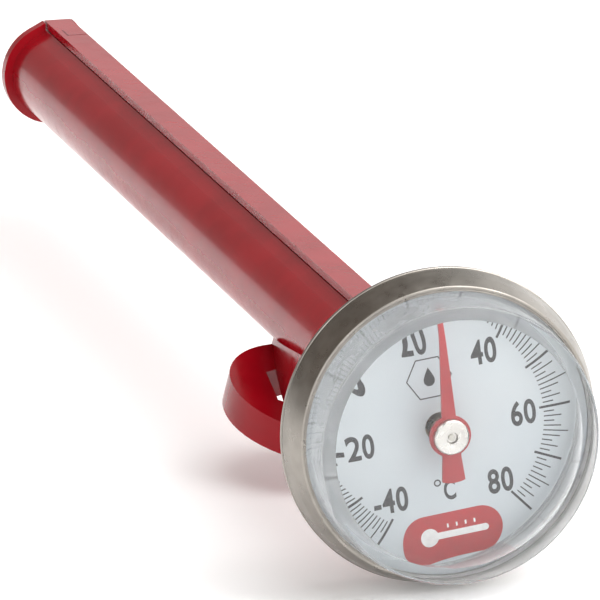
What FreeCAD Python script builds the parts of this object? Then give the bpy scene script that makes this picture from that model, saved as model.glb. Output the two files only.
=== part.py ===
import FreeCAD, Part
import math
import os

import Sketcher

# Pocket dial thermometer in its sheath, lying on its side.
# The stem runs along +Y and the dial faces -Y. The origin is on the stem's axis,
# at the back face of the nut, where the free stem begins. Every length is in millimetres.

DIMENSIONS = {
    # stem and movement
    "stem_radius": 1.9,
    "stem_bore_radius": 1.5,
    "stem_neck_radius": 1.7,
    "stem_length": 122.0,
    "stem_tube_end": 119.5,
    "shaft_radius": 0.3,
    "shaft_bore_radius": 0.36,
    "nut_flats": 7.94,
    "nut_front": -4.25,
    "nut_back": 0.0,
    "boss_radius": 3.0,
    "boss_front": -6.6,
    "guide_front": 35.0,
    "guide_length": 3.0,
    "coil_front": 76.5,
    "coil_radius": 1.2,
    "coil_pitch": 1.5,
    "coil_turns": 24.0,
    "coil_strip_thick": 0.16,
    "coil_strip_width": 0.8,
    "collar_gap": 0.3,
    "collar_length": 1.8,
    "anchor_length": 2.5,
    # head
    "case_plane": -5.0,
    "case_radius": 14.3,
    "case_wall": 0.4,
    "case_hole_radius": 3.05,
    "case_cup_radius": 13.3,
    "case_flange_radius": 13.8,
    "case_flange_front": -8.3,
    "rim_plane": -8.0,
    "bezel_front": -11.35,
    "bezel_front_radius": 13.3,
    "bezel_wall": 0.35,
    "lens_foot": -8.75,
    "lens_flange_radius": 13.35,
    "lens_flange_front": -9.6,
    "lens_front": -15.35,
    "lens_front_radius": 12.55,
    "lens_base_radius": 12.8,
    "lens_cavity_radius": 11.15,
    "lens_foot_cavity_radius": 11.75,
    "lens_cavity_front": -14.3,
    "dial_radius": 12.6,
    "dial_hole_radius": 1.3,
    "dial_back": -8.3,
    "dial_thick": 0.3,
    # pointer
    "pointer_back": -11.4,
    "pointer_thick": 0.25,
    "pointer_hub_radius": 1.85,
    "pointer_reach": 10.6,
    "pointer_tip_width": 0.36,
    "pointer_root_width": 1.25,
    "pointer_tail_reach": 4.2,
    "pointer_tail_width": 2.05,
    "pointer_angle": 94.8,
    "cap_radius": 1.55,
    "cap_thick": 0.55,
    # sheath
    "sheath_mouth": -4.4,
    "sheath_end": 125.5,
    "sheath_radius": 4.25,
    "sheath_bore_radius": 3.1,
    "sheath_bore_end": 123.7,
    "nut_bore_radius": 4.7,
    "nut_bore_end": 1.0,
    "roof_height": 4.45,
    "roof_left": -0.66,
    "roof_right": 2.0,
    "sleeve_radius": 5.45,
    "sleeve_end": 14.5,
    "sleeve_fade_end": 16.3,
    "lip_grow": 0.8,
    "lip_length": 1.1,
    "ear_radius": 8.05,
    "ear_thick": 3.1,
    "ear_y": 27.33,
    "ear_drop": 7.72,
    "ear_tilt": 16.0,
    "ear_roll": 8.6,
    "ear_hex_flats": 8.4,
    "web_height": 8.75,
    "web_near_half": 4.0,
    "web_middle_half": 3.53,
    "web_far_half": 2.45,
    # clip
    "clip_root": 15.6,
    "clip_bottom": 4.6,
    "clip_top": 5.3,
}

doc = FreeCAD.newDocument("pocket_thermometer")
sheet = doc.addObject("Spreadsheet::Sheet", "Dimensions")
for row, (alias, value) in enumerate(DIMENSIONS.items(), start=1):
    sheet.set(f"A{row}", alias)
    sheet.set(f"B{row}", str(value))
    sheet.setAlias(f"B{row}", alias)
doc.recompute()

parts = []
FACING_BACK = FreeCAD.Rotation(FreeCAD.Vector(1, 0, 0), -90)


def dim(alias):
    return float(sheet.get(alias))


def bind(obj, prop, formula):
    """Bind a property to the sheet; @ stands for the sheet's name."""
    obj.setExpression(prop, formula.replace("@", "Dimensions."))


def keep(obj, name):
    obj.Label = name
    parts.append(obj)
    return obj


def body(name):
    item = doc.addObject("PartDesign::Body", f"{name}_body")
    return keep(item, name)


def origin_plane(item, role):
    return next(f for f in item.Origin.OriginFeatures if f.Role == role)


def sketch_on(item, role, name, offset=None):
    sketch = item.newObject("Sketcher::SketchObject", name)
    sketch.AttachmentSupport = [(origin_plane(item, role), "")]
    sketch.MapMode = "FlatFace"
    if offset is not None:
        sketch.AttachmentOffset = offset
    return sketch


def add_outline(sketch, points):
    """Add a closed outline. A point (x, y) is a corner; ("via", x, y) bends the edge after
    the corner before it into an arc through that place."""
    corners, vias = [], []
    for point in points:
        if point[0] == "via":
            vias[-1] = FreeCAD.Vector(point[1], point[2], 0)
        else:
            corners.append(FreeCAD.Vector(point[0], point[1], 0))
            vias.append(None)
    first = sketch.GeometryCount
    for index, via in enumerate(vias):
        ends = corners[index], corners[(index + 1) % len(corners)]
        edge = Part.Arc(ends[0], via, ends[1]) if via else Part.LineSegment(*ends)
        sketch.addGeometry(edge, False)
    for index, corner in enumerate(corners):
        here = first + index
        before = first + (index - 1) % len(corners)
        sketch.addConstraint(Sketcher.Constraint(
            "Coincident", before, end_at(sketch, before, corner), here, end_at(sketch, here, corner)))


def end_at(sketch, edge, place):
    """Which end of a sketch's edge is at this place: 1 its start, 2 its end."""
    start, end = sketch.getPoint(edge, 1), sketch.getPoint(edge, 2)
    return 1 if start.distanceToPoint(place) < end.distanceToPoint(place) else 2


def add_circle(sketch, x, y, formula):
    """Add a circle whose radius follows the sheet."""
    centre = FreeCAD.Vector(x, y, 0)
    index = sketch.addGeometry(Part.Circle(centre, FreeCAD.Vector(0, 0, 1), 1.0), False)
    sketch.addConstraint(Sketcher.Constraint("Radius", index, 1.0))
    bind(sketch, f"Constraints[{sketch.ConstraintCount - 1}]", formula)


def revolve(item, name, points):
    """Turn an outline of (radius, y) points about the stem's axis."""
    sketch = sketch_on(item, "XY_Plane", f"{name}_profile")
    add_outline(sketch, points)
    turned = item.newObject("PartDesign::Revolution", f"{name}_turned")
    turned.Profile = sketch
    turned.ReferenceAxis = (sketch, ["V_Axis"])
    turned.Angle = 360
    doc.recompute()
    return turned


def groove(item, name, points):
    sketch = sketch_on(item, "XY_Plane", f"{name}_profile")
    add_outline(sketch, points)
    before = item.Shape.Volume
    cut = item.newObject("PartDesign::Groove", f"{name}_cut")
    cut.Profile = sketch
    cut.ReferenceAxis = (sketch, ["V_Axis"])
    cut.Angle = 360
    doc.recompute()
    check_removed(name, before, item)
    return cut


def check_removed(name, before, item):
    removed = before - item.Shape.Volume
    print(f"{name}: removed {removed:.3f} mm3")
    if removed <= 0:
        raise RuntimeError(f"{name} cut nothing")


def ring(name, inner, outer, front, back):
    """A plain turned ring from front to back along the stem's axis, as two cylinders cut."""
    solid = []
    for suffix, radius in (("outside", outer), ("inside", inner)):
        cylinder = doc.addObject("Part::Cylinder", f"{name}_{suffix}")
        bind(cylinder, "Radius", radius)
        bind(cylinder, "Height", f"({back}) - ({front})")
        cylinder.Placement = FreeCAD.Placement(FreeCAD.Vector(), FACING_BACK)
        bind(cylinder, "Placement.Base.y", front)
        solid.append(cylinder)
    cut = doc.addObject("Part::Cut", f"{name}_cut")
    cut.Base, cut.Tool = solid
    return keep(cut, name)


def bar(name, radius, front, back):
    """A plain round bar from front to back along the stem's axis."""
    cylinder = doc.addObject("Part::Cylinder", f"{name}_bar")
    bind(cylinder, "Radius", radius)
    bind(cylinder, "Height", f"({back}) - ({front})")
    cylinder.Placement = FreeCAD.Placement(FreeCAD.Vector(), FACING_BACK)
    bind(cylinder, "Placement.Base.y", front)
    return keep(cylinder, name)


# ---------------------------------------------------------------- stem

def make_stem_tube():
    """The tube; its neck, in the nut, is turned down to seat against the nut's back face."""
    tube = body("stem_tube")
    revolve(tube, "stem_tube", [
        (dim("stem_bore_radius"), dim("boss_front")),
        (dim("stem_neck_radius"), dim("boss_front")),
        (dim("stem_neck_radius"), dim("nut_back")),
        (dim("stem_radius"), dim("nut_back")),
        (dim("stem_radius"), dim("stem_tube_end")),
        (dim("stem_bore_radius"), dim("stem_tube_end")),
    ])


def make_stem_tip():
    """The welded plug: a spigot in the tube, and a rounded nose of the tube's diameter."""
    tip = body("stem_tip")
    nose = 1.0
    spigot_front = dim("stem_tube_end") - 2.5
    face = dim("stem_length")
    shoulder = dim("stem_radius") - nose
    turn = math.sqrt(0.5)
    revolve(tip, "stem_tip", [
        (0, spigot_front),
        (dim("stem_bore_radius"), spigot_front),
        (dim("stem_bore_radius"), dim("stem_tube_end")),
        (dim("stem_radius"), dim("stem_tube_end")),
        (dim("stem_radius"), face - nose),
        ("via", shoulder + nose * turn, face - nose + nose * turn),
        (shoulder, face),
        (0, face),
    ])


def make_calibration_nut():
    """The hexagon behind the head, with the round boss that the case turns on."""
    nut = body("calibration_nut")
    corner = dim("nut_flats") / math.sqrt(3)
    neck = dim("stem_neck_radius")
    overlap = 0.5
    past = 0.1
    sketch = sketch_on(nut, "XZ_Plane", "nut_hexagon")
    outline = []
    for index in range(6):
        turn = math.radians(60 * index)
        outline.append((corner * math.cos(turn), corner * math.sin(turn)))
    add_outline(sketch, outline)
    pad = nut.newObject("PartDesign::Pad", "nut_block")
    pad.Profile = sketch
    pad.Reversed = True
    bind(pad, "Length", "@nut_back - @nut_front")
    bind(sketch, "AttachmentOffset.Base.z", "-@nut_front")
    doc.recompute()
    revolve(nut, "boss", [
        (neck, dim("boss_front")),
        (dim("boss_radius"), dim("boss_front")),
        (dim("boss_radius"), dim("nut_front") + overlap),
        (neck, dim("nut_front") + overlap),
    ])
    groove(nut, "nut_bore", [
        (0, dim("nut_front") - past),
        (neck, dim("nut_front") - past),
        (neck, dim("nut_back") + past),
        (0, dim("nut_back") + past),
    ])
    bevel = 0.45
    groove(nut, "nut_bevel", [
        (corner - bevel, dim("nut_back")),
        (corner + past, dim("nut_back")),
        (corner + past, dim("nut_back") - bevel),
    ])


def make_hub_pieces():
    """The seal behind the case, and the spring washer and collar that hold the case on."""
    inside = "@case_plane - @case_wall"
    ring("hub_seal", "@boss_radius", "@boss_radius + 0.6", "@case_plane + 0.05", "@nut_front")
    ring("friction_washer", "@boss_radius", "@boss_radius + 1.9",
         f"{inside} - 0.55", f"{inside} - 0.05")
    ring("retaining_collar", "@boss_radius", "@boss_radius + 1.5",
         "@boss_front", f"{inside} - 0.6")


def make_top_bushing():
    """Brass bearing in the stem's mouth; its nose stands through the dial."""
    bushing = body("top_bushing")
    nose = 0.95
    bevel = 0.15
    flange = dim("stem_bore_radius") + 0.6
    flange_front = dim("boss_front") - 0.4
    nose_front = dim("dial_back") - dim("dial_thick") - 0.9
    back = dim("boss_front") + 3.6
    revolve(bushing, "top_bushing", [
        (dim("shaft_bore_radius"), nose_front),
        (nose - bevel, nose_front),
        (nose, nose_front + bevel),
        (nose, flange_front),
        (flange, flange_front),
        (flange, dim("boss_front")),
        (dim("stem_bore_radius"), dim("boss_front")),
        (dim("stem_bore_radius"), back),
        (dim("shaft_bore_radius"), back),
    ])


def make_movement():
    ring("guide_bushing", "@shaft_bore_radius", "@stem_bore_radius",
         "@guide_front", "@guide_front + @guide_length")
    coil_end = "@coil_front + @coil_pitch * @coil_turns + @coil_strip_width"
    bar("coil_anchor", "@stem_bore_radius", coil_end, f"{coil_end} + @anchor_length")
    ring("coil_collar", "@shaft_radius", "@coil_radius + 0.1",
         "@coil_front - @collar_gap - @collar_length", "@coil_front - @collar_gap")


def make_bimetal_coil():
    """The helical strip: a rectangle swept along a helix about the stem's axis."""
    coil = doc.addObject("Part::Feature", "bimetal_coil_strip")
    pitch = dim("coil_pitch")
    height = pitch * dim("coil_turns")
    radius = dim("coil_radius")
    half = dim("coil_strip_thick") / 2
    width = dim("coil_strip_width")
    helix = Part.makeHelix(pitch, height, radius)
    corners = [
        FreeCAD.Vector(radius - half, 0, 0),
        FreeCAD.Vector(radius + half, 0, 0),
        FreeCAD.Vector(radius + half, 0, width),
        FreeCAD.Vector(radius - half, 0, width),
    ]
    profile = Part.makePolygon(corners + corners[:1])
    swept = Part.Wire(helix).makePipeShell([profile], True, True)
    length = math.hypot(2 * math.pi * radius, pitch) * dim("coil_turns")
    section = dim("coil_strip_thick") * width * 2 * math.pi * radius
    section /= math.hypot(2 * math.pi * radius, pitch)
    print(f"coil volume {swept.Volume:.3f}, section times length {section * length:.3f}")
    coil.Shape = swept
    place = FreeCAD.Vector(0, dim("coil_front"), 0)
    coil.Placement = FreeCAD.Placement(place, FACING_BACK)
    keep(coil, "bimetal_coil")


# ---------------------------------------------------------------- head

def make_case_back():
    """The cup behind the dial, with a flange at its front edge."""
    case = body("case_back")
    wall = dim("case_wall")
    cup = dim("case_cup_radius")
    back = dim("case_plane")
    flange = dim("case_flange_front")
    rounding = 1.4
    centre_radius = cup - rounding
    centre_y = back - rounding
    outer = rounding * math.sqrt(0.5)
    inner = (rounding - wall) * math.sqrt(0.5)
    revolve(case, "case_back", [
        (dim("case_hole_radius"), back - wall),
        (dim("case_hole_radius"), back),
        (centre_radius, back),
        ("via", centre_radius + outer, centre_y + outer),
        (cup, centre_y),
        (cup, flange + wall),
        (dim("case_flange_radius"), flange + wall),
        (dim("case_flange_radius"), flange),
        (cup - wall, flange),
        (cup - wall, centre_y),
        ("via", centre_radius + inner, centre_y + inner),
        (centre_radius, back - wall),
    ])


def make_bezel_ring():
    """The polished ring: folded behind the case's flange, and crimped over the lens."""
    bezel = body("bezel_ring")
    wall = dim("bezel_wall")
    rim = dim("rim_plane")
    front = dim("bezel_front")
    fold = dim("case_flange_front") + dim("case_wall")
    play = 0.05
    bore = dim("case_cup_radius") + play
    lip = dim("lens_base_radius") + play
    outside = dim("case_radius")
    shoulder = dim("bezel_front_radius")
    swell = 0.12
    edge = 0.25
    turn = edge * (1 - math.sqrt(0.5))
    revolve(bezel, "bezel_ring", [
        (bore, fold + play),
        (bore, fold + wall),
        (outside - edge, fold + wall),
        ("via", outside - turn, fold + wall - turn),
        (outside, fold + wall - edge),
        (outside, rim),
        ("via", (outside + shoulder) / 2 + swell, (rim + front + edge) / 2),
        (shoulder, front + edge),
        ("via", shoulder - turn, front + turn),
        (shoulder - edge, front),
        (lip, front),
        (lip, front + wall),
        (shoulder - wall, front + wall),
        (outside - wall, rim - play),
        (outside - wall, fold + play),
    ])


def make_lens():
    """The clear cap: a flange under the bezel, a drafted wall and a flat front."""
    lens = body("lens")
    front = dim("lens_front")
    radius = dim("lens_front_radius")
    edge = 0.35
    turn = edge * (1 - math.sqrt(0.5))
    revolve(lens, "lens", [
        (dim("lens_foot_cavity_radius"), dim("lens_foot")),
        (dim("lens_flange_radius"), dim("lens_foot")),
        (dim("lens_flange_radius"), dim("lens_flange_front")),
        (dim("lens_base_radius"), dim("lens_flange_front")),
        (dim("lens_base_radius"), dim("bezel_front")),
        (radius, front + edge),
        ("via", radius - turn, front + turn),
        (radius - edge, front),
        (0, front),
        (0, dim("lens_cavity_front")),
        (dim("lens_cavity_radius"), dim("lens_cavity_front")),
    ])


def make_head_rings():
    """The gasket under the lens, and the dial on its spacer."""
    ring("lens_gasket", "@dial_radius + 0.1", "@lens_flange_radius",
         "@lens_foot", "@case_flange_front")
    ring("dial_spacer", "@dial_radius - 0.5", "@case_cup_radius - @case_wall - 0.15",
         "@dial_back", "@case_plane - @case_wall - 1.1")
    ring("dial_plate", "@dial_hole_radius", "@dial_radius",
         "@dial_back - @dial_thick", "@dial_back")


# ---------------------------------------------------------------- pointer

def make_pointer():
    """Red pointer: a tapered blade, a round hub and a flared tail with a rounded end."""
    pointer = body("pointer")
    hub = dim("pointer_hub_radius")
    reach = dim("pointer_reach")
    tail = dim("pointer_tail_reach")
    tip_half = dim("pointer_tip_width") / 2
    root_half = dim("pointer_root_width") / 2
    tail_half = dim("pointer_tail_width") / 2
    neck_half = tail_half - 0.2
    rise = 0.18
    turn = FreeCAD.Rotation(FreeCAD.Vector(0, 0, 1), dim("pointer_angle"))
    seat = FreeCAD.Placement(FreeCAD.Vector(0, 0, -dim("pointer_back")), turn)
    outlines = {
        "blade": [
            (0, -root_half),
            (hub, -root_half),
            (reach - tip_half, -tip_half),
            ("via", reach, 0),
            (reach - tip_half, tip_half),
            (hub, root_half),
            (0, root_half),
        ],
        "tail": [
            (0, neck_half),
            (-hub, neck_half),
            (-tail + rise, tail_half),
            ("via", -tail, 0),
            (-tail + rise, -tail_half),
            (-hub, -neck_half),
            (0, -neck_half),
        ],
    }
    for name, outline in outlines.items():
        sketch = sketch_on(pointer, "XZ_Plane", f"pointer_{name}", seat)
        add_outline(sketch, outline)
        pad_pointer(pointer, name, sketch)
    disc = sketch_on(pointer, "XZ_Plane", "pointer_disc", seat)
    add_circle(disc, 0, 0, "@pointer_hub_radius")
    pad_pointer(pointer, "disc", disc)
    hole = sketch_on(pointer, "XZ_Plane", "pointer_hole", seat)
    add_circle(hole, 0, 0, "@shaft_radius + 0.35")
    before = pointer.Shape.Volume
    pocket = pointer.newObject("PartDesign::Pocket", "pointer_hole_cut")
    pocket.Profile = hole
    pocket.Type = "ThroughAll"
    pocket.Midplane = True
    doc.recompute()
    check_removed("pointer hole", before, pointer)


def pad_pointer(pointer, name, sketch):
    pad = pointer.newObject("PartDesign::Pad", f"pointer_{name}_pad")
    pad.Profile = sketch
    bind(pad, "Length", "@pointer_thick")
    doc.recompute()


def make_hub_cap():
    """Nickel cap that rivets the pointer to its shaft, with a recess for the shaft's end."""
    cap = body("hub_cap")
    back = dim("pointer_back") - dim("pointer_thick")
    face = back - dim("cap_thick")
    shaft = dim("shaft_radius")
    sleeve = shaft + 0.35
    revolve(cap, "hub_cap", [
        (shaft, dim("pointer_back") + 1.1),
        (sleeve + 0.25, dim("pointer_back") + 1.1),
        (sleeve + 0.25, dim("pointer_back") + 0.01),
        (sleeve, dim("pointer_back") + 0.01),
        (sleeve, back),
        (dim("cap_radius"), back),
        (dim("cap_radius"), face + 0.12),
        (dim("cap_radius") - 0.12, face),
        (shaft + 0.22, face),
        (shaft + 0.14, face + 0.22),
        (shaft, face + 0.22),
    ])


def make_pointer_shaft():
    bar("pointer_shaft", "@shaft_radius", "@pointer_back - @pointer_thick - @cap_thick + 0.05",
        "@coil_front - @collar_gap")


# ---------------------------------------------------------------- sheath and clip

def tangent_point(radius, x, z, side):
    """Where the line from (x, z) touches the circle of this radius; side is -1 left, 1 right."""
    reach = math.hypot(x, z)
    turn = math.atan2(z, x) - side * math.acos(radius / reach)
    return radius * math.cos(turn), radius * math.sin(turn)


def add_roofed_circle(sketch, grow):
    """A circle with two tangent flats that lead up to a flat roof."""
    radius = dim("sheath_radius") + grow
    top = dim("roof_height") + grow
    left = dim("roof_left") - grow * 0.2
    right = dim("roof_right") + grow * 0.2
    x_left, z_left = tangent_point(radius, left, top, -1)
    x_right, z_right = tangent_point(radius, right, top, 1)
    corners = [(x_left, z_left), (left, top), (right, top), (x_right, z_right)]
    for (x, z), (x_next, z_next) in zip(corners, corners[1:]):
        sketch.addGeometry(Part.LineSegment(FreeCAD.Vector(x, z, 0),
                                            FreeCAD.Vector(x_next, z_next, 0)), False)
    arc = Part.Arc(FreeCAD.Vector(x_right, z_right, 0), FreeCAD.Vector(0, -radius, 0),
                   FreeCAD.Vector(x_left, z_left, 0))
    last = sketch.addGeometry(arc, False)
    for index in range(2):
        sketch.addConstraint(Sketcher.Constraint("Coincident", index, 2, index + 1, 1))
    sketch.addConstraint(Sketcher.Constraint("Coincident", 2, 2, last, 2))
    sketch.addConstraint(Sketcher.Constraint("Coincident", last, 1, 0, 1))


def pad_along(item, name, sketch, front, back):
    """Pad a sketch on the XZ plane from front to back along +Y."""
    bind(sketch, "AttachmentOffset.Base.z", f"-({front})")
    pad = item.newObject("PartDesign::Pad", name)
    pad.Profile = sketch
    pad.Reversed = True
    bind(pad, "Length", f"({back}) - ({front})")
    doc.recompute()
    return pad


def ear_seat(along_normal=0):
    """The ear's middle plane, or one parallel to it. The ear lies under the tube, opposite the
    clip: rolled about the stem's axis and tilted towards the dial."""
    roll = FreeCAD.Rotation(FreeCAD.Vector(0, 1, 0), dim("ear_roll"))
    tilt = FreeCAD.Rotation(FreeCAD.Vector(1, 0, 0), dim("ear_tilt"))
    turn = roll * tilt
    place = roll.multVec(FreeCAD.Vector(0, dim("ear_y"), -dim("ear_drop")))
    place += turn.multVec(FreeCAD.Vector(0, 0, along_normal))
    return FreeCAD.Placement(place, turn)


def make_sheath():
    """Moulded sheath: drawn tube, lip at the closed end, sleeve over the nut, ear on its web."""
    sheath = body("sheath")
    section = sketch_on(sheath, "XZ_Plane", "tube_section")
    add_roofed_circle(section, 0)
    pad_along(sheath, "tube", section, "@sheath_mouth", "@sheath_end")
    lip = sketch_on(sheath, "XZ_Plane", "lip_section")
    add_roofed_circle(lip, dim("lip_grow"))
    pad_along(sheath, "lip", lip, "@sheath_end - @lip_length", "@sheath_end")
    sleeve = dim("sleeve_radius")
    mouth = dim("sheath_mouth")
    bore = dim("sheath_bore_radius")
    nut_bore = dim("nut_bore_radius")
    bevel = 0.3
    end_bevel = 0.8
    revolve(sheath, "sleeve", [
        (0, mouth),
        (sleeve - bevel, mouth),
        (sleeve, mouth + bevel),
        (sleeve, dim("sleeve_end")),
        (dim("sheath_radius") - 0.1, dim("sleeve_fade_end")),
        (0, dim("sleeve_fade_end")),
    ])
    add_ear(sheath)
    groove(sheath, "stem_bore", [
        (0, mouth - 1),
        (nut_bore + bevel, mouth - 1),
        (nut_bore + bevel, mouth),
        (nut_bore, mouth + bevel),
        (nut_bore, dim("nut_bore_end")),
        (bore, dim("nut_bore_end") + nut_bore - bore),
        (bore, dim("sheath_bore_end") - end_bevel),
        (bore - end_bevel, dim("sheath_bore_end")),
        (0, dim("sheath_bore_end")),
    ])
    cut_hexagon(sheath)
    cut_clip_slot(sheath)


def add_ear(sheath):
    """The round ear, and the web that joins it to the tube and narrows towards the far end."""
    disc = sketch_on(sheath, "XY_Plane", "ear_disc", ear_seat())
    add_circle(disc, 0, 0, "@ear_radius")
    pad = sheath.newObject("PartDesign::Pad", "ear")
    pad.Profile = disc
    pad.Midplane = True
    bind(pad, "Length", "@ear_thick")
    doc.recompute()
    radius = dim("ear_radius")
    near = dim("web_near_half")
    middle = dim("web_middle_half")
    far = dim("web_far_half")
    near_end = -math.sqrt(radius ** 2 - near ** 2)
    far_end = math.sqrt(radius ** 2 - far ** 2)
    outline = sketch_on(sheath, "XY_Plane", "web_outline", ear_seat())
    add_outline(outline, [
        (-near, near_end),
        ("via", 0, -radius),
        (near, near_end),
        ("via", middle, 0),
        (far, far_end),
        ("via", 0, radius),
        (-far, far_end),
        ("via", -middle, 0),
    ])
    web = sheath.newObject("PartDesign::Pad", "web")
    web.Profile = outline
    bind(web, "Length", "@web_height")
    doc.recompute()


def cut_hexagon(sheath):
    """The hexagonal hole through the ear; the web stands over its middle."""
    hexagon = sketch_on(sheath, "XY_Plane", "ear_hexagon", ear_seat(dim("ear_thick") / 2))
    corner = dim("ear_hex_flats") / math.sqrt(3)
    outline = []
    for index in range(6):
        turn = math.radians(60 * index + 30)
        outline.append((corner * math.cos(turn), corner * math.sin(turn)))
    add_outline(hexagon, outline)
    before = sheath.Shape.Volume
    pocket = sheath.newObject("PartDesign::Pocket", "ear_hexagon_cut")
    pocket.Profile = hexagon
    bind(pocket, "Length", "@ear_thick + 0.4")
    doc.recompute()
    check_removed("wrench hexagon", before, sheath)


def cut_clip_slot(sheath):
    """A slot through the lip, for the clip's free end."""
    slack = 0.12
    past = 0.5
    slot = sketch_on(sheath, "XZ_Plane", "clip_slot")
    low = dim("roof_height")
    high = dim("clip_top") + 3
    left = dim("roof_left") - slack
    right = dim("roof_right") + slack
    add_outline(slot, [(left, low), (right, low), (right, high), (left, high)])
    bind(slot, "AttachmentOffset.Base.z", f"-(@sheath_end + {past})")
    before = sheath.Shape.Volume
    pocket = sheath.newObject("PartDesign::Pocket", "clip_slot_cut")
    pocket.Profile = slot
    pocket.Reversed = True
    bind(pocket, "Length", f"@lip_length + {2 * past}")
    doc.recompute()
    check_removed("clip slot", before, sheath)


def make_pocket_clip():
    """Flat spring strip; its rounded root is the centre it flexes about."""
    clip = body("pocket_clip")
    low = dim("clip_bottom")
    high = dim("clip_top")
    half = (high - low) / 2
    root = dim("clip_root")
    end = dim("sheath_end")
    edge = 0.1
    sketch = sketch_on(clip, "YZ_Plane", "clip_side")
    add_outline(sketch, [
        (end, low),
        (end, high - edge),
        (end - edge, high),
        (root + half, high),
        ("via", root, low + half),
        (root + half, low),
    ])
    bind(sketch, "AttachmentOffset.Base.z", "@roof_left")
    pad = clip.newObject("PartDesign::Pad", "clip_strip")
    pad.Profile = sketch
    bind(pad, "Length", "@roof_right - @roof_left")
    doc.recompute()


# ---------------------------------------------------------------- build and write

def check_all():
    doc.recompute()
    for obj in doc.Objects:
        if "Invalid" in obj.State or "Error" in obj.State:
            raise RuntimeError(f"{obj.Name} failed: {obj.State}")
    for obj in parts:
        if obj.Shape.isNull() or not obj.Shape.isValid():
            raise RuntimeError(f"{obj.Label} has no valid shape")


def write_parts():
    os.makedirs("parts", exist_ok=True)
    for obj in parts:
        box = obj.Shape.BoundBox
        print(f"{obj.Label:18s} solids {len(obj.Shape.Solids)} volume {obj.Shape.Volume:9.2f} "
              f"x {box.XMin:.2f} {box.XMax:.2f} y {box.YMin:.2f} {box.YMax:.2f} "
              f"z {box.ZMin:.2f} {box.ZMax:.2f}")
        obj.Shape.exportStep(f"parts/{obj.Label}.step")


make_stem_tube()
make_stem_tip()
make_calibration_nut()
make_hub_pieces()
make_top_bushing()
make_movement()
make_bimetal_coil()
make_case_back()
make_bezel_ring()
make_lens()
make_head_rings()
make_pointer()
make_hub_cap()
make_pointer_shaft()
make_sheath()
make_pocket_clip()
check_all()
write_parts()
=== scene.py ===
import math

import bpy
from mathutils import Matrix, Vector


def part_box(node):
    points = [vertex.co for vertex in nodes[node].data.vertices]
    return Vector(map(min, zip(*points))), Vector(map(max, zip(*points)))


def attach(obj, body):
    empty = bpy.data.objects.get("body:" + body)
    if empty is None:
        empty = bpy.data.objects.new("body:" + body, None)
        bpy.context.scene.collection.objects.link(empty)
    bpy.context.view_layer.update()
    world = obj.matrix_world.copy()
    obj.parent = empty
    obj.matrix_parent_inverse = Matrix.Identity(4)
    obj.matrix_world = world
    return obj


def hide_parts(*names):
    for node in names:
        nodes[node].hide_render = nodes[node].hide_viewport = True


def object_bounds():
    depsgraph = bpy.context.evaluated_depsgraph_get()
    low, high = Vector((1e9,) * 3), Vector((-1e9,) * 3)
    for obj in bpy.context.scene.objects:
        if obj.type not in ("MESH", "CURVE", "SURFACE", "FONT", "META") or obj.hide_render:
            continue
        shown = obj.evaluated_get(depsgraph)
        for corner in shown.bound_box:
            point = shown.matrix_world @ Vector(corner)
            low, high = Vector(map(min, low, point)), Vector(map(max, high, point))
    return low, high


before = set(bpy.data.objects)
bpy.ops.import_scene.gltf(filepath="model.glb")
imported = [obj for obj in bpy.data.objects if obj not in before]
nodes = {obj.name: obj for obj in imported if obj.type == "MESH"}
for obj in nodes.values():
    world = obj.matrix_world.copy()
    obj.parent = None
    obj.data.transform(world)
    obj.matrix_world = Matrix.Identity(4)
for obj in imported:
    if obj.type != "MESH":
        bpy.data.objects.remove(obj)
cad_low, cad_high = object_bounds()

MM = 0.001
TEXT_TURN = 7.5      # degrees that the lettering of the dial leans
CREASE = 35          # degrees; edges sharper than this stay sharp
ON_AXIS = 1e-6       # mm; a point nearer the stem's axis than this is a pole
NOISE_LOW = 0.35     # the part of a noise's range that is spread out
NOISE_HIGH = 0.65

# ---------------------------------------------------------------- where the CAD pieces are, mm

dial_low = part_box("dial_plate")[0] / MM
bezel_low, bezel_high = (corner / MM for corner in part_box("bezel_ring"))
lens_low, lens_high = (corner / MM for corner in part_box("lens"))
clip_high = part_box("pocket_clip")[1] / MM
DIAL_FACE = dial_low.y
HEAD_RADIUS = bezel_high.x


# ---------------------------------------------------------------- materials

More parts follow.
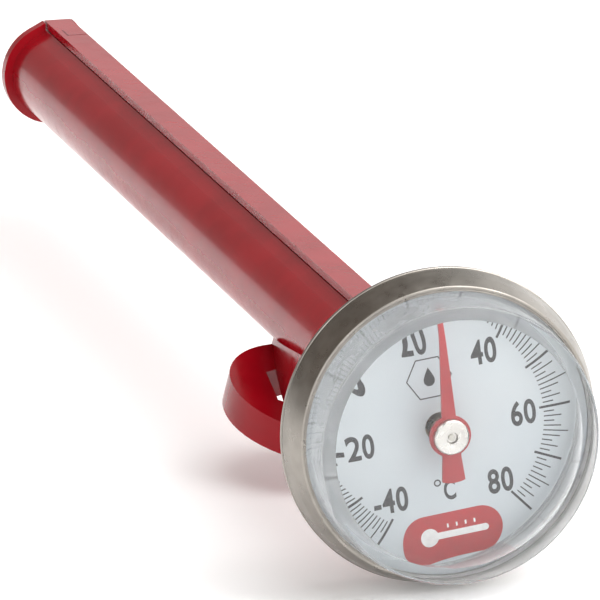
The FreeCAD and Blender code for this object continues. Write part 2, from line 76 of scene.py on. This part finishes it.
class Surface:
    """A Principled material, with short ways to vary its sockets over the piece."""

    def __init__(self, name, **values):
        self.material = bpy.data.materials.new(name)
        self.material.use_nodes = True
        self.tree = self.material.node_tree
        self.shader = self.tree.nodes["Principled BSDF"]
        self.output = self.tree.nodes["Material Output"]
        for socket, value in values.items():
            self.shader.inputs[socket.replace("_", " ")].default_value = value
        self.coordinates = self.tree.nodes.new("ShaderNodeTexCoord").outputs["Object"]

    def add(self, kind, **settings):
        node = self.tree.nodes.new(kind)
        for key, value in settings.items():
            setattr(node, key, value)
        return node

    def link(self, source, target):
        self.tree.links.new(source, target)

    def noise(self, scale, detail=3.0, stretch=(1, 1, 1), source=None):
        """Noise of so many features per metre, drawn out by stretch."""
        mapping = self.add("ShaderNodeMapping")
        mapping.inputs["Scale"].default_value = stretch
        self.link(source or self.coordinates, mapping.inputs["Vector"])
        noise = self.add("ShaderNodeTexNoise")
        noise.inputs["Scale"].default_value = scale
        noise.inputs["Detail"].default_value = detail
        self.link(mapping.outputs["Vector"], noise.inputs["Vector"])
        return noise.outputs["Fac"]

    def round_axis(self):
        """(distance from the stem's axis, place along it, 0): equal all round a turned piece."""
        flat = self.add("ShaderNodeVectorMath", operation="MULTIPLY")
        flat.inputs[1].default_value = (1, 0, 1)
        self.link(self.coordinates, flat.inputs[0])
        length = self.add("ShaderNodeVectorMath", operation="LENGTH")
        self.link(flat.outputs["Vector"], length.inputs[0])
        parts = self.add("ShaderNodeSeparateXYZ")
        self.link(self.coordinates, parts.inputs[0])
        joined = self.add("ShaderNodeCombineXYZ")
        self.link(length.outputs["Value"], joined.inputs["X"])
        self.link(parts.outputs["Y"], joined.inputs["Y"])
        return joined.outputs["Vector"]

    def spread(self, source, low, high):
        spread = self.add("ShaderNodeMapRange")
        spread.inputs["From Min"].default_value = NOISE_LOW
        spread.inputs["From Max"].default_value = NOISE_HIGH
        spread.inputs["To Min"].default_value = low
        spread.inputs["To Max"].default_value = high
        self.link(source, spread.inputs["Value"])
        return spread.outputs["Result"]

    def roughness(self, source, low, high):
        self.link(self.spread(source, low, high), self.shader.inputs["Roughness"])

    def colours(self, source, first, second):
        ramp = self.add("ShaderNodeValToRGB")
        ramp.color_ramp.elements[0].position = NOISE_LOW
        ramp.color_ramp.elements[0].color = (*first, 1)
        ramp.color_ramp.elements[1].position = NOISE_HIGH
        ramp.color_ramp.elements[1].color = (*second, 1)
        self.link(source, ramp.inputs["Fac"])
        self.link(ramp.outputs["Color"], self.shader.inputs["Base Color"])

    def bump(self, source, depth_mm):
        bump = self.add("ShaderNodeBump")
        bump.inputs["Strength"].default_value = 1.0
        bump.inputs["Distance"].default_value = depth_mm * MM
        self.link(source, bump.inputs["Height"])
        self.link(bump.outputs["Normal"], self.shader.inputs["Normal"])


def metal(name, light, dark, smooth, dull, turned=True):
    """Turned or rolled metal: fine rings or mottle, uneven gloss, faint darker patches."""
    made = Surface(name, Metallic=1.0)
    made.colours(made.noise(420, 4), dark, light)
    made.roughness(made.noise(900, 5), smooth, dull)
    if turned:
        made.bump(made.noise(9000, 3, source=made.round_axis()), 0.0012)
    else:
        made.bump(made.noise(2600, 4), 0.004)
    return made.material


def plastic(name, light, dark, smooth, dull, dimple=0.002, **values):
    made = Surface(name, **values)
    made.colours(made.noise(160, 3), dark, light)
    made.roughness(made.noise(700, 5), smooth, dull)
    made.bump(made.noise(500, 3), dimple)
    return made.material


def print_ink(name, light, dark):
    made = Surface(name)
    made.colours(made.noise(2500, 3), dark, light)
    made.roughness(made.noise(3000, 2), 0.38, 0.55)
    made.bump(made.noise(9000, 2), 0.0006)
    return made.material


def lens_material():
    """Clear moulded cap with faint handling marks."""
    made = Surface("clear_cap", IOR=1.47, Transmission_Weight=1.0)
    made.colours(made.noise(120, 2), (0.985, 0.995, 1.0), (1.0, 1.0, 1.0))
    made.roughness(made.noise(1500, 5, (1, 0.3, 1)), 0.0, 0.02)
    made.bump(made.noise(220, 2), 0.0008)
    return made.material


def lens_wall_material():
    """The cap's drafted wall, whitened by a translucent layer: painted reflection of the white
    surroundings.
    """
    made = Surface("cap_wall", IOR=1.4, Transmission_Weight=1.0)
    made.colours(made.noise(120, 2), (0.985, 0.995, 1.0), (1.0, 1.0, 1.0))
    made.roughness(made.noise(1500, 4, (1, 0.3, 1)), 0.0, 0.04)
    # painted reflection: a whitish translucent layer standing in for the white surroundings seen in
    # the wall
    white_reflection_layer = made.add("ShaderNodeBsdfTranslucent")
    white_reflection_layer.inputs["Color"].default_value = (0.95, 0.96, 0.97, 1)
    clear = made.add("ShaderNodeBsdfTransparent")
    both = made.add("ShaderNodeMixShader")
    both.inputs["Fac"].default_value = 0.42
    made.link(clear.outputs["BSDF"], both.inputs[1])
    made.link(white_reflection_layer.outputs["BSDF"], both.inputs[2])
    mixed = made.add("ShaderNodeMixShader")
    made.link(made.spread(made.noise(300, 3), 0.5, 0.62), mixed.inputs["Fac"])
    made.link(made.shader.outputs["BSDF"], mixed.inputs[1])
    made.link(both.outputs["Shader"], mixed.inputs[2])
    made.link(mixed.outputs["Shader"], made.output.inputs["Surface"])
    return made.material


def dial_material():
    """Satin silver plate: a fine upright brush and a soft mottle."""
    made = Surface("dial_satin", Metallic=0.1)
    made.colours(made.noise(90, 3), (0.54, 0.585, 0.615), (0.60, 0.645, 0.67))
    made.roughness(made.noise(5000, 3, (1, 1, 0.08)), 0.36, 0.5)
    made.bump(made.noise(7000, 2, (1, 1, 0.06)), 0.0008)
    return made.material


STEEL = metal("spun_steel", (0.34, 0.315, 0.285), (0.28, 0.26, 0.235), 0.26, 0.38)
STEM_STEEL = metal("drawn_steel", (0.62, 0.61, 0.58), (0.52, 0.51, 0.48), 0.16, 0.3)
MILLED_STEEL = metal("milled_steel", (0.60, 0.59, 0.56), (0.50, 0.49, 0.46), 0.2, 0.36, turned=False)
NICKEL = metal("satin_nickel", (0.66, 0.64, 0.61), (0.56, 0.54, 0.51), 0.22, 0.36)
BRASS = metal("turned_brass", (0.55, 0.42, 0.25), (0.42, 0.31, 0.18), 0.22, 0.4)
BIMETAL = metal("rolled_strip", (0.55, 0.53, 0.48), (0.44, 0.42, 0.38), 0.25, 0.42, turned=False)
RED = plastic("red_moulding", (0.31, 0.002, 0.008), (0.26, 0.001, 0.006), 0.12, 0.22,
              Specular_IOR_Level=0.24, Coat_Weight=0.08, Coat_Roughness=0.08)
# painted shade: a darker red for the fine shadow lines of the clip's moulded mark
PAINTED_SHADE_RED = plastic("painted_shade_red", (0.16, 0.002, 0.006), (0.12, 0.001, 0.004), 0.3, 0.45)
RUBBER = plastic("black_rubber", (0.03, 0.03, 0.03), (0.018, 0.018, 0.018), 0.6, 0.8, dimple=0.01)
SPACER = plastic("natural_nylon", (0.78, 0.79, 0.78), (0.70, 0.71, 0.70), 0.4, 0.6, dimple=0.006)
ENAMEL = plastic("red_enamel", (0.46, 0.014, 0.02), (0.38, 0.01, 0.015), 0.28, 0.42, dimple=0.003)
BLACK_INK = print_ink("black_ink", (0.018, 0.018, 0.022), (0.01, 0.01, 0.013))
RED_INK = print_ink("red_ink", (0.46, 0.009, 0.012), (0.39, 0.006, 0.009))
WHITE_INK = print_ink("white_ink", (0.82, 0.82, 0.81), (0.74, 0.74, 0.73))
LENS = lens_material()
LENS_WALL = lens_wall_material()
DIAL = dial_material()

NODE_LOOKS = {
    "stem_tube": STEM_STEEL,
    "stem_tip": STEM_STEEL,
    "calibration_nut": MILLED_STEEL,
    "hub_seal": RUBBER,
    "friction_washer": MILLED_STEEL,
    "retaining_collar": BRASS,
    "top_bushing": BRASS,
    "guide_bushing": BRASS,
    "bimetal_coil": BIMETAL,
    "coil_anchor": BIMETAL,
    "case_back": STEEL,
    "bezel_ring": STEEL,
    "lens": LENS,
    "lens_gasket": SPACER,
    "dial_spacer": SPACER,
    "dial_plate": DIAL,
    "pointer": ENAMEL,
    "hub_cap": NICKEL,
    "pointer_shaft": BIMETAL,
    "coil_collar": BRASS,
    "sheath": RED,
    "pocket_clip": RED,
}
for name, look in NODE_LOOKS.items():
    for material_slot in nodes[name].material_slots:
        material_slot.material = look


# ---------------------------------------------------------------- shapes, mm in the row frame

def make_object(name, points, faces, material, body):
    """A smoothly shaded mesh piece that rides on a body."""
    mesh = bpy.data.meshes.new(name)
    mesh.from_pydata([Vector(point) * MM for point in points], [], faces)
    mesh.polygons.foreach_set("use_smooth", [True] * len(mesh.polygons))
    mesh.set_sharp_from_angle(angle=math.radians(CREASE))
    mesh.materials.append(material)
    mesh.validate()
    made = bpy.data.objects.new(name, mesh)
    bpy.context.scene.collection.objects.link(made)
    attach(made, body)
    return made


def rounded(corners, steps=5):
    """(r, y, rounding) corners of a closed outline, each rounding drawn as short steps."""
    outline = []
    count = len(corners)
    for index, (x, y, radius) in enumerate(corners):
        here = Vector((x, y))
        if not radius:
            outline.append(here)
            continue
        before = (Vector(corners[index - 1][:2]) - here).normalized()
        after = (Vector(corners[(index + 1) % count][:2]) - here).normalized()
        half = before.angle(after) / 2
        reach = radius / math.tan(half)
        centre = here + (before + after).normalized() * radius / math.sin(half)
        start = here + before * reach - centre
        turn = start.angle_signed(here + after * reach - centre)
        for step in range(steps + 1):
            spun = Matrix.Rotation(-turn * step / steps, 2) @ start
            outline.append(centre + spun)
    return outline


def lathe(name, corners, material, body, segments=192):
    """A closed outline of (r, y, rounding) corners turned round the stem's axis."""
    outline = rounded(corners)
    points, faces = [], []
    starts = []
    for spot in outline:
        starts.append(len(points))
        if spot.x < ON_AXIS:
            points.append((0, spot.y, 0))
            continue
        for step in range(segments):
            angle = math.tau * step / segments
            points.append((spot.x * math.cos(angle), spot.y, spot.x * math.sin(angle)))
    for index, here in enumerate(starts):
        after = (index + 1) % len(starts)
        there = starts[after]
        pole_here = outline[index].x < ON_AXIS
        pole_there = outline[after].x < ON_AXIS
        if pole_here and pole_there:
            continue
        for step in range(segments):
            turned = (step + 1) % segments
            if pole_here:
                faces.append((here, there + turned, there + step))
            elif pole_there:
                faces.append((here + step, here + turned, there))
            else:
                faces.append((here + step, here + turned, there + turned, there + step))
    return make_object(name, points, faces, material, body)


bezel = lathe("bezel_band", [
    (HEAD_RADIUS - 0.95, bezel_high.y - 0.3, 0),
    (HEAD_RADIUS - 0.95, bezel_high.y, 0.08),
    (HEAD_RADIUS - 0.32, bezel_high.y, 0.2),
    (HEAD_RADIUS - 0.02, bezel_high.y - 0.42, 0.15),
    (HEAD_RADIUS - 0.02, bezel_high.y - 0.68, 0.05),
    (HEAD_RADIUS - 0.12, bezel_high.y - 0.75, 0.04),
    (HEAD_RADIUS - 0.14, bezel_high.y - 1.1, 0.5),
    (HEAD_RADIUS - 0.45, bezel_high.y - 2.3, 3.0),
    (HEAD_RADIUS - 0.98, bezel_low.y, 0.2),
    (lens_high.x - 0.30, bezel_low.y, 0.05),
    (lens_high.x - 0.34, bezel_low.y + 0.06, 0.03),
    (lens_high.x - 0.40, bezel_low.y + 0.02, 0.03),
    (lens_high.x - 0.49, bezel_low.y + 0.05, 0.03),
    (lens_high.x - 0.49, bezel_low.y + 0.35, 0),
    (HEAD_RADIUS - 1.4, bezel_low.y + 0.38, 0),
    (HEAD_RADIUS - 0.38, bezel_high.y - 0.55, 0),
    (HEAD_RADIUS - 0.38, bezel_high.y - 0.3, 0),
], STEEL, "head")
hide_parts("bezel_ring")

LENS_SIDE = 12.8         # radius of the cap's wall at its foot
LENS_FRONT_RADIUS = 12.55
LENS_FLANGE = 0.85       # thickness of the flange behind the band
LENS_THICKNESS = 1.1
CAVITY_RADIUS = 11.15
CAVITY_FOOT = 11.75
CAVITY_FRONT = lens_low.y + LENS_THICKNESS
HOLLOW_START = 8.9       # beyond this radius the cap thins towards its corner
HOLLOW_GROWTH = 0.012
WALL_LEAN = 0.3          # a face whose normal points less than this along the axis is wall
hollow = [
    (HOLLOW_START + step * (CAVITY_RADIUS - HOLLOW_START) / 10, CAVITY_FRONT
     - HOLLOW_GROWTH * (step * (CAVITY_RADIUS - HOLLOW_START) / 10) ** 3, 0)
    for step in range(11)
]
lens = lathe("lens_cap", [
    (CAVITY_FOOT, lens_high.y, 0),
    (lens_high.x, lens_high.y, 0.05),
    (lens_high.x, lens_high.y - LENS_FLANGE, 0.05),
    (LENS_SIDE, lens_high.y - LENS_FLANGE, 0.05),
    (LENS_FRONT_RADIUS, lens_low.y, 0.35),
    (0, lens_low.y, 0),
    (0, CAVITY_FRONT, 0),
    *hollow,
], LENS, "head")
# the cap's wall faces take the whitish painted reflection
lens.data.materials.append(LENS_WALL)
for polygon in lens.data.polygons:
    if abs(polygon.normal.y) < WALL_LEAN:
        polygon.material_index = 1
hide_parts("lens")


# ---------------------------------------------------------------- the dial's print

INK = 0.02           # thickness of the print, mm


def dial_angle(celsius):
    """Degrees counterclockwise from +X of a temperature on the dial."""
    top = 80
    top_angle = -44.2
    spacing = 2.385          # degrees round the dial for one degree, at 20
    growth = 0.00308         # change of that spacing for each degree away from 20
    turned = spacing * (top - celsius) + growth * ((top - 20) ** 2 - (celsius - 20) ** 2) / 2
    return top_angle + turned


def on_dial(radius, degrees):
    angle = math.radians(degrees)
    return Vector((radius * math.cos(angle), radius * math.sin(angle)))


def plate_of(outlines, lift=0.0):
    """Points and faces of flat outlines raised from the dial's face by the print's thickness."""
    points, faces = [], []
    for outline in outlines:
        first = len(points)
        count = len(outline)
        for depth in (lift, lift + INK):
            points += [(spot.x, DIAL_FACE - depth, spot.y) for spot in outline]
        faces.append(tuple(first + count + index for index in range(count)))
        faces.append(tuple(first + index for index in reversed(range(count))))
        for index in range(count):
            after = (index + 1) % count
            faces.append((first + index, first + after,
                          first + count + after, first + count + index))
    return points, faces


def stroke(start, end, width):
    """A straight line of that width as a four-cornered outline."""
    across = (end - start).normalized().orthogonal() * width / 2
    return [start + across, start - across, end - across, end + across]


def tick_outlines():
    outlines = []
    for celsius in range(-40, 81):
        angle = dial_angle(celsius)
        inner, outer, width = 9.27, 10.2, 0.1
        if celsius % 10 == 0:
            inner, outer, width = 8.9, 11.4, 0.2
        elif celsius % 5 == 0:
            outer = 11.4
        elif celsius % 2 == 0:
            outer = 10.8
        outlines.append(stroke(on_dial(inner, angle), on_dial(outer, angle), width))
    return outlines


make_object("dial_ticks", *plate_of(tick_outlines()), BLACK_INK, "head")


def lettering(name, words, centre, height, width_factor, weight, material):
    """Lettering on the dial, its middle at centre, as a raised mesh."""
    cap_height = 0.695       # of the type size
    curve = bpy.data.curves.new(name, "FONT")
    curve.body = words
    curve.size = height / cap_height
    curve.align_x = "CENTER"
    curve.extrude = INK / 2
    curve.offset = weight
    curve.resolution_u = 6
    curve.space_character = 1.1
    drawn = bpy.data.objects.new(name, curve)
    bpy.context.scene.collection.objects.link(drawn)
    bpy.context.view_layer.update()
    mesh = bpy.data.meshes.new_from_object(drawn)
    bpy.data.objects.remove(drawn)
    spots = [vertex.co for vertex in mesh.vertices]
    middle_x = (min(spot.x for spot in spots) + max(spot.x for spot in spots)) / 2
    lean = math.radians(TEXT_TURN)
    points = []
    for spot in spots:
        x = (spot.x - middle_x) * width_factor
        y = spot.y - height / 2
        points.append((
            centre.x + x * math.cos(lean) - y * math.sin(lean),
            DIAL_FACE - INK / 2 - spot.z,
            centre.y + x * math.sin(lean) + y * math.cos(lean),
        ))
    faces = [tuple(polygon.vertices) for polygon in mesh.polygons]
    bpy.data.meshes.remove(mesh)
    make_object(name, points, faces, material, "head")


LABEL_HEIGHT = 2.05
LABEL_WIDTH = 0.74       # of the typeface's own width
LABEL_WEIGHT = 0.07      # thickening of the strokes
LABELS = {               # radius in mm and angle of each number's middle
    "80": (7.45, -43.5),
    "60": (7.45, 5.6),
    "40": (7.45, 59.1),
    "20": (7.9, 107.4),
    "0": (8.15, 149.0),
    "-20": (7.5, 190.5),
    "-40": (7.6, 235.0),
}
for words, (radius, angle) in LABELS.items():
    piece_name = "dial_number_" + words.replace("-", "minus_")
    lettering(piece_name, words, on_dial(radius, angle), LABEL_HEIGHT, LABEL_WIDTH, LABEL_WEIGHT,
              BLACK_INK)


def arc(centre, radius, start, end, steps=24):
    """Points along a circle's arc, in degrees."""
    sweep = end - start
    return [centre + on_dial(radius, start + sweep * step / steps) for step in range(steps + 1)]


unit_centre = on_dial(5.6, -84.6)
lettering("dial_unit", "C", unit_centre + Vector((0.35, -0.05)), 1.65, 0.66, 0.06, BLACK_INK)


def ring_outlines(centre, radius, width, corners):
    """A closed band with so many straight sides, as one four-cornered outline a side."""
    outlines = []
    inner, outer = radius - width / 2, radius + width / 2
    for index in range(corners):
        first = 360 * index / corners + TEXT_TURN
        last = 360 * (index + 1) / corners + TEXT_TURN
        outlines.append([
            centre + on_dial(inner, first),
            centre + on_dial(outer, first),
            centre + on_dial(outer, last),
            centre + on_dial(inner, last),
        ])
    return outlines


degree_centre = unit_centre + Vector((-0.75, 0.6))
degree_ring = ring_outlines(degree_centre, 0.26, 0.12, 24)
make_object("dial_degree_ring", *plate_of(degree_ring), BLACK_INK, "head")


def leaning(centre, spots):
    """Spots given in the lettering's own directions, turned and moved to their centre."""
    lean = Matrix.Rotation(-math.radians(TEXT_TURN), 2)
    back = lean.inverted()
    return [centre + back @ Vector(spot) for spot in spots]


def pill(half_length, half_height):
    """A stadium outline about the origin, its length across."""
    straight = Vector((half_length - half_height, 0))
    return arc(straight, half_height, -90, 90, 16) + arc(-straight, half_height, 90, 270, 16)


badge_centre = on_dial(9.6, -82.8)
badge = pill(4.45, 1.95)
make_object("dial_badge", *plate_of([leaning(badge_centre, badge)]), RED_INK, "head")
bulb_radius = 0.8
tube_half = 0.3
neck = math.degrees(math.asin(tube_half / bulb_radius))
bulb = arc(Vector((-2.1, 0)), bulb_radius, neck, 360 - neck)
tube_end = arc(Vector((2.9, 0)), tube_half, -90, 90, 12)
glass = bulb + tube_end
strokes = [
    stroke(Vector((x, 0.6)), Vector((x, 0.95)), 0.16)
    for x in (-0.4, 0.4, 1.2, 2.0)
]
picture = [leaning(badge_centre, outline) for outline in (glass, *strokes)]
make_object("dial_badge_mark", *plate_of(picture, INK), WHITE_INK, "head")

mark_centre = on_dial(4.5, 102.7)
drop = [(0, 0.95), (0.32, 0.35), (0.5, -0.1), (0.45, -0.45), (0.2, -0.7),
        (-0.2, -0.7), (-0.45, -0.45), (-0.5, -0.1), (-0.32, 0.35)]
mark = ring_outlines(mark_centre, 2.0, 0.12, 6) + [leaning(mark_centre, drop)]
make_object("dial_drop_mark", *plate_of(mark), BLACK_INK, "head")


# ---------------------------------------------------------------- the clip's mark, as painted shade lines

def clip_shade_line(name, start, end):
    """A fine line on the clip's top face, in a darker red: painted shade of the moulded mark's edge.
    """
    width, depth = 0.14, 0.03
    outline = stroke(Vector(start), Vector(end), width)
    top = clip_high.z
    points = [(spot.x, spot.y, top - depth) for spot in outline]
    points += [(spot.x, spot.y, top + depth / 2) for spot in outline]
    faces = [(3, 2, 1, 0), (4, 5, 6, 7)]
    faces += [(index, (index + 1) % 4, (index + 1) % 4 + 4, index + 4) for index in range(4)]
    make_object(name, points, faces, PAINTED_SHADE_RED, "clip")


clip_shade_line("clip_mark_shade_along", (0, 118.6), (0, 121.0))
clip_shade_line("clip_mark_shade_across", (0, 118.67), (clip_high.x, 118.67))


# ---------------------------------------------------------------- floor, light and camera

def stage_plane(name, size, height, material):
    mesh = bpy.data.meshes.new(name)
    half = size / 2
    mesh.from_pydata(
        [(-half, -half, height), (half, -half, height),
         (half, half, height), (-half, half, height)],
        [], [(0, 1, 2, 3)])
    mesh.materials.append(material)
    made = bpy.data.objects.new(name, mesh)
    bpy.context.scene.collection.objects.link(made)


floor_look = Surface("pale_floor")
floor_look.colours(floor_look.noise(3, 2), (0.90, 0.90, 0.90), (0.93, 0.93, 0.93))
floor_look.shader.inputs["Roughness"].default_value = 0.7
floor_look.shader.inputs["Emission Color"].default_value = (1, 1, 1, 1)
floor_look.shader.inputs["Emission Strength"].default_value = 0.12
FLOOR_SIZE = 12.0        # m
stage_plane("floor", FLOOR_SIZE, cad_low.z, floor_look.material)


def soft_light(name, azimuth, elevation, distance, size, power):
    """A square soft box that faces the head from that side, angles as for the camera."""
    light = bpy.data.lights.new(name, "AREA")
    light.shape = "SQUARE"
    light.size = size
    light.energy = power
    made = bpy.data.objects.new(name, light)
    across, rise = math.radians(azimuth), math.radians(elevation)
    towards = Vector((
        math.sin(across) * math.cos(rise),
        -math.cos(across) * math.cos(rise),
        math.sin(rise),
    ))
    made.location = towards * distance
    made.rotation_euler = towards.to_track_quat("Z", "Y").to_euler()
    bpy.context.scene.collection.objects.link(made)


soft_light("key_box", 60, 50, 1.2, 0.9, 9)
soft_light("top_box", 20, 80, 1.4, 1.0, 7)
soft_light("front_box", -40, 30, 1.6, 0.9, 4)

world = bpy.data.worlds.new("studio")
bpy.context.scene.world = world
world.use_nodes = True
world_tree = world.node_tree
background = world_tree.nodes["Background"]
direction = world_tree.nodes.new("ShaderNodeTexCoord").outputs["Generated"]
towards_dark = world_tree.nodes.new("ShaderNodeVectorMath")
towards_dark.operation = "DOT_PRODUCT"
towards_dark.inputs[1].default_value = Vector((-0.62, 0.38, 0.68)).normalized()
world_tree.links.new(direction, towards_dark.inputs[0])
sky = world_tree.nodes.new("ShaderNodeValToRGB")
SKY = (
    (0.0, (1.7, 1.7, 1.7, 1)),
    (0.35, (0.85, 0.85, 0.84, 1)),
    (0.68, (0.33, 0.31, 0.29, 1)),
    (1.0, (0.27, 0.235, 0.21, 1)),
)
while len(sky.color_ramp.elements) < len(SKY):
    sky.color_ramp.elements.new(0.5)
for element, (place, colour) in zip(sky.color_ramp.elements, SKY):
    element.position = place
    element.color = colour
world_tree.links.new(towards_dark.outputs["Value"], sky.inputs["Fac"])
world_tree.links.new(sky.outputs["Color"], background.inputs["Color"])
background.inputs["Strength"].default_value = 1.0

CAMERA_AZIMUTH = -16.005     # degrees; 0 looks along +Y
CAMERA_ELEVATION = 15.195
CAMERA_DISTANCE = 880        # mm, from the point it looks at
LOOKED_AT = Vector((-10.74, -1.96, 10.48))
FOCAL_LENGTH = 604.6         # mm
SENSOR_WIDTH = 36            # mm

azimuth = math.radians(CAMERA_AZIMUTH)
elevation = math.radians(CAMERA_ELEVATION)
back = Vector((
    math.sin(azimuth) * math.cos(elevation),
    -math.cos(azimuth) * math.cos(elevation),
    math.sin(elevation),
))
right = Vector((math.cos(azimuth), math.sin(azimuth), 0))
upward = back.cross(right)
camera_data = bpy.data.cameras.new("camera")
camera_data.lens = FOCAL_LENGTH
camera_data.sensor_width = SENSOR_WIDTH
camera_data.clip_end = 30
camera = bpy.data.objects.new("camera", camera_data)
camera.matrix_world = (
    Matrix.Translation((LOOKED_AT + back * CAMERA_DISTANCE) * MM)
    @ Matrix((right, upward, back)).transposed().to_4x4()
)
bpy.context.scene.collection.objects.link(camera)
bpy.context.scene.camera = camera

view_settings = bpy.context.scene.view_settings
view_settings.view_transform = "Standard"
